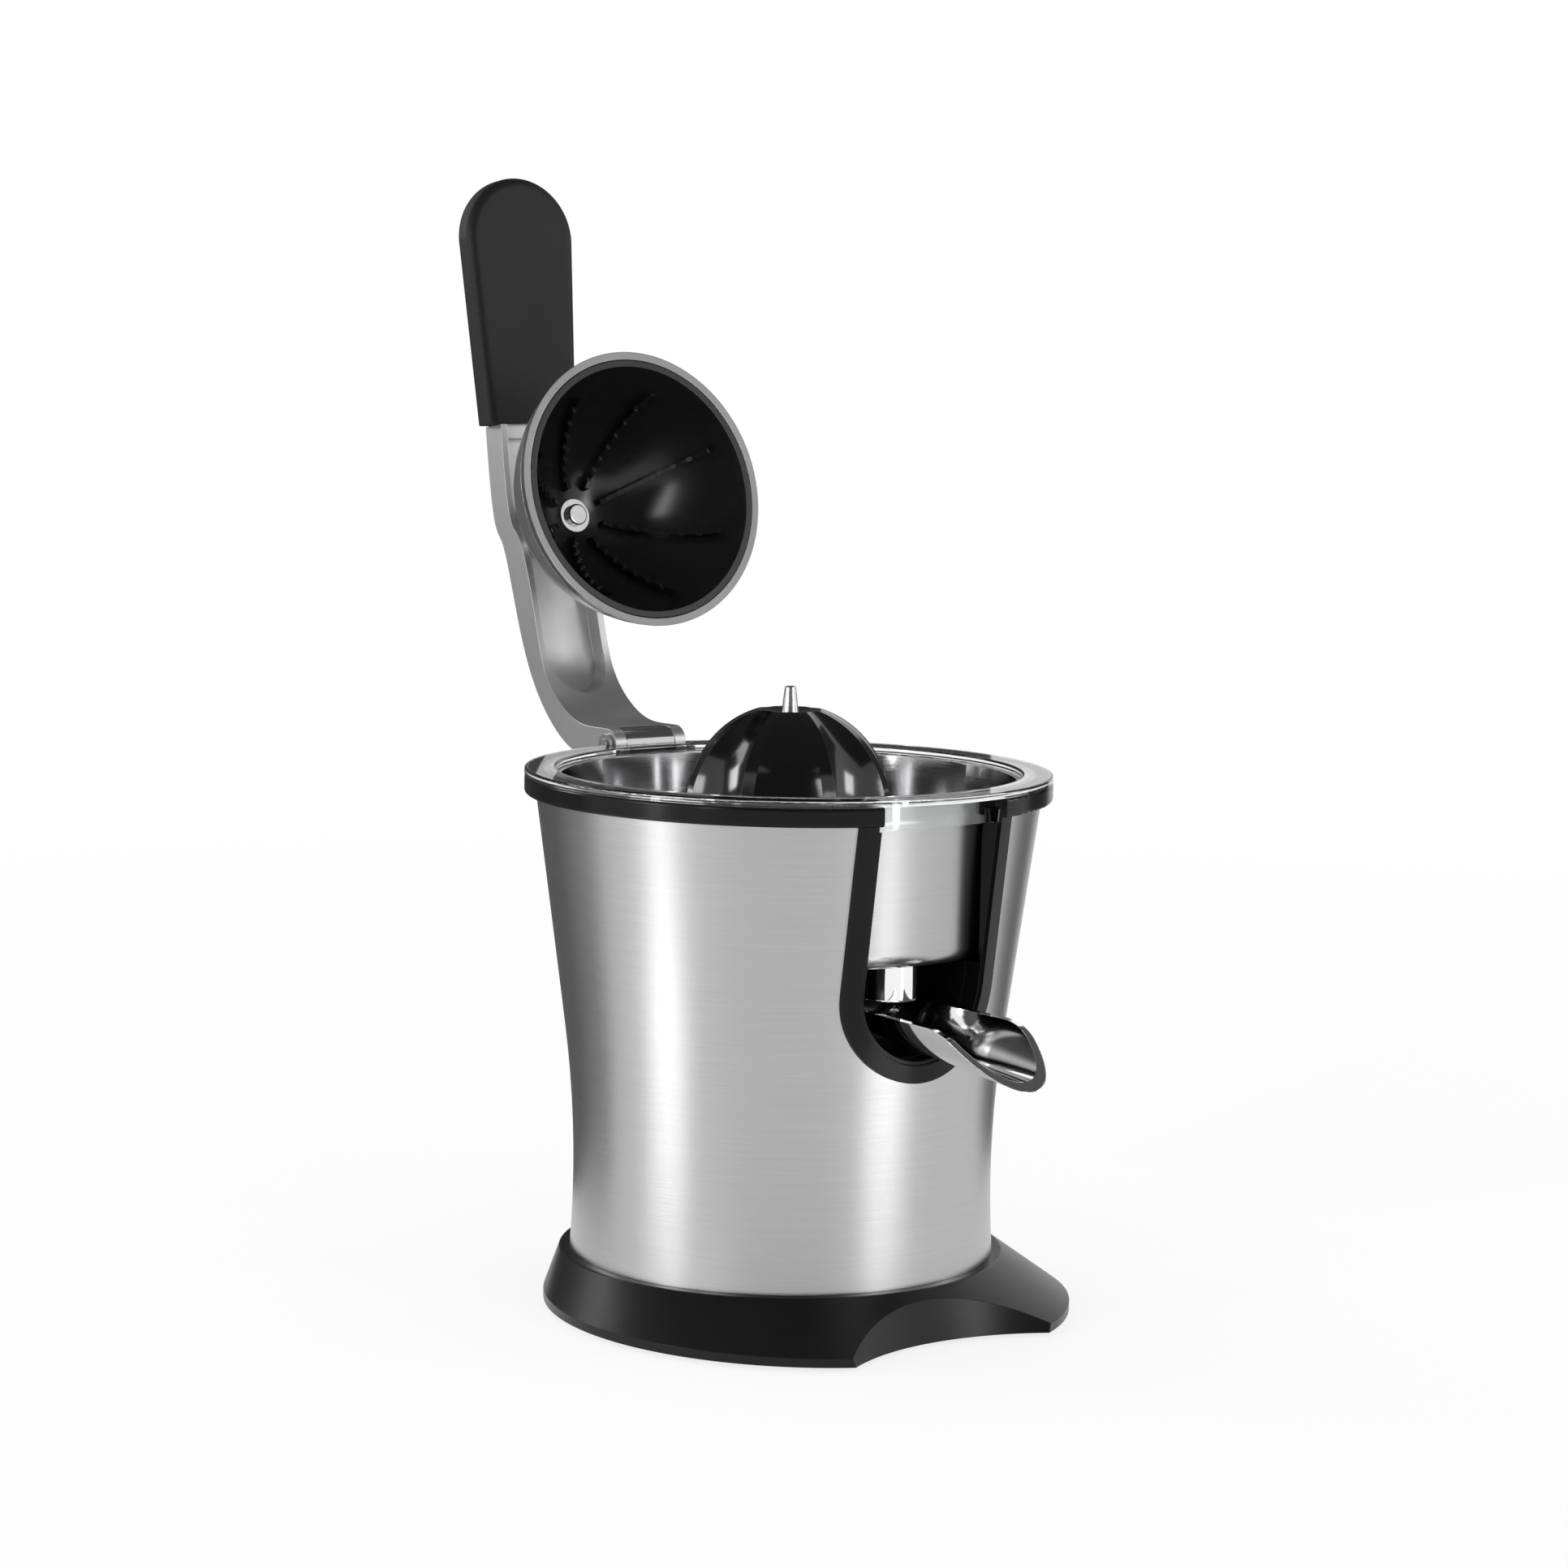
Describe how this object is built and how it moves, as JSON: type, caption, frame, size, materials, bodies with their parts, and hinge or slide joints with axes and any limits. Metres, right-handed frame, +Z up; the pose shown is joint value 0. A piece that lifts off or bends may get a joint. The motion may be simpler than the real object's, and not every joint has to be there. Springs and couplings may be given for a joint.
{
  "type": "citrus press juicer",
  "caption": "Upright electric citrus juicer with a waisted steel body, ribbed reamer cone, lever-operated press dome, tilting spout and a base scooped for a glass.",
  "frame": {"origin": "on the drive axis, in the plane the feet stand on", "axes": "+Z up along the drive axis, -Y towards the spout, +X to the right seen from the front"},
  "size_m": [0.204, 0.3605, 0.4358],
  "materials": {
    "black_satin": "satin black moulding",
    "black_gloss": "gloss black moulding",
    "soft_black": "soft-touch black",
    "foot_rubber": "matt rubber",
    "brushed_steel": "brushed round",
    "chrome": "mirror",
    "satin_silver": "satin silver",
    "clear": "clear moulding",
    "steel": "ground",
    "aluminium": "as cast",
    "nylon": "natural nylon",
    "bronze": "sintered",
    "copper": "varnished winding",
    "iron": "laminations"
  },
  "bodies": {
    "housing": {"base_skirt": "black_satin", "bottom_cover": "black_satin", "rubber_feet": "foot_rubber", "cover_screws": "steel", "cord_gland": "foot_rubber", "steel_shell": "brushed_steel", "top_bezel": "black_gloss", "splash_ring": "clear", "juice_bowl": "brushed_steel", "outlet_collar": "chrome", "strainer": "black_gloss", "spout_recess": "black_gloss", "motor_deck": "black_satin", "gearbox_case": "nylon", "gearbox_plate": "aluminium", "chassis_posts": "aluminium", "lay_pin": "steel", "lower_bush": "bronze", "upper_bush": "bronze", "shaft_seal": "foot_rubber", "start_switch": "black_satin", "motor_stator": "iron", "motor_coils": "copper", "motor_lower_bell": "aluminium", "motor_upper_bell": "aluminium", "hinge_bracket": "satin_silver", "hinge_pin": "steel", "hinge_clips": "steel", "bracket_screws": "steel"},
    "spout": {"spout": "chrome", "spout_pins": "chrome"},
    "rotor": {"motor_rotor": "iron", "motor_shaft": "steel", "motor_pinion": "bronze"},
    "lay": {"lay_gear": "nylon"},
    "final": {"final_gear": "nylon"},
    "press_shaft": {"drive_shaft": "steel", "reamer_cone": "black_gloss", "cone_tip": "chrome", "return_spring": "steel"},
    "plunger": {"switch_plunger": "nylon"},
    "lever": {"lever_arm": "satin_silver", "lever_grip": "soft_black", "grip_screws": "steel", "dome_shell": "satin_silver", "dome_insert": "black_gloss", "dome_washer": "chrome", "dome_screw": "chrome", "dome_spacer": "satin_silver"}
  },
  "joints": [
    {"name": "lever_hinge", "type": "hinge", "parent": "housing", "child": "lever", "pos_m": [0, 0.10102, 0.207], "axis": [1, 0, 0], "range_deg": [0, 90]},
    {"name": "spout_tilt", "type": "hinge", "parent": "housing", "child": "spout", "pos_m": [0, -0.056, 0.12], "axis": [-1, 0, 0], "range_deg": [0, 20]},
    {"name": "motor_spin", "type": "hinge", "parent": "housing", "child": "rotor", "pos_m": [0, 0.03786, 0.06], "axis": [0, 0, 1], "continuous": true},
    {"name": "lay_spin", "type": "hinge", "parent": "housing", "child": "lay", "pos_m": [0.03277, 0.02294, 0.1], "axis": [0, 0, 1], "continuous": true},
    {"name": "final_spin", "type": "hinge", "parent": "housing", "child": "final", "pos_m": [0, 0, 0.11], "axis": [0, 0, 1], "continuous": true},
    {"name": "press_slide", "type": "slide", "parent": "final", "child": "press_shaft", "axis": [0, 0, -1], "range_m": [0, 0.0025], "stiffness_N_per_m": 2500, "springref_m": -0.004, "deforming": ["return_spring"]},
    {"name": "plunger_slide", "type": "slide", "parent": "housing", "child": "plunger", "axis": [0, 0, -1], "range_m": [0, 0.0025]}
  ],
  "couplings": [
    {"joint": "lay_spin", "follows": "motor_spin", "ratio": -0.26316},
    {"joint": "final_spin", "follows": "motor_spin", "ratio": 0.080559},
    {"joint": "plunger_slide", "follows": "press_slide", "ratio": 1}
  ]
}
